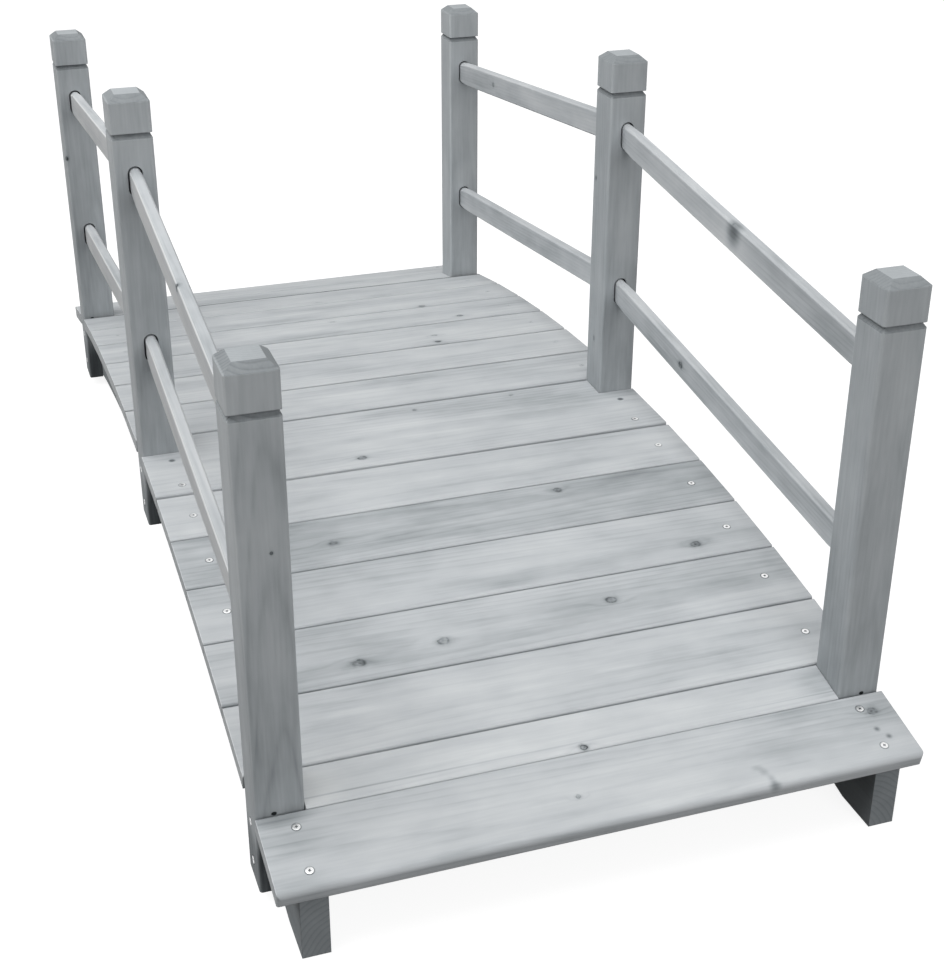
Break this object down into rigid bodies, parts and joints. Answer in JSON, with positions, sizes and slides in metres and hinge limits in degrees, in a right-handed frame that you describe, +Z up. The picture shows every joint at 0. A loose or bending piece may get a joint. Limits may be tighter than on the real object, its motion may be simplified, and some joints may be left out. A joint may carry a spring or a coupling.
{
  "type": "moon bridge",
  "caption": "Small arched garden bridge: a boarded deck on two curved stringers, with low post-and-rail sides, in grey-stained fir.",
  "frame": {"origin": "on the ground, under the middle of the bridge", "axes": "+X across the bridge, +Y along it from the near end to the far end, +Z up"},
  "size_m": [0.602, 1.3832, 0.5657],
  "materials": {
    "deck_wood": "matt grey stain",
    "post_wood": "matt grey stain",
    "rail_wood": "matt grey stain",
    "stringer_wood": "matt grey stain"
  },
  "bodies": {
    "root": {"back_board": "deck_wood", "crown_board": "deck_wood", "far_board_1": "deck_wood", "far_board_2": "deck_wood", "far_board_3": "deck_wood", "far_board_4": "deck_wood", "far_board_5": "deck_wood", "far_board_6": "deck_wood", "far_left_lower_rail": "rail_wood", "far_left_post": "post_wood", "far_left_upper_rail": "rail_wood", "far_post_board": "deck_wood", "far_right_lower_rail": "rail_wood", "far_right_post": "post_wood", "far_right_upper_rail": "rail_wood", "front_board": "deck_wood", "left_stringer": "stringer_wood", "mid_left_post": "post_wood", "mid_right_post": "post_wood", "near_board_1": "deck_wood", "near_board_2": "deck_wood", "near_board_3": "deck_wood", "near_board_4": "deck_wood", "near_board_5": "deck_wood", "near_left_lower_rail": "rail_wood", "near_left_post": "post_wood", "near_left_upper_rail": "rail_wood", "near_post_board": "deck_wood", "near_right_lower_rail": "rail_wood", "near_right_post": "post_wood", "near_right_upper_rail": "rail_wood", "right_stringer": "stringer_wood"}
  },
  "joints": []
}
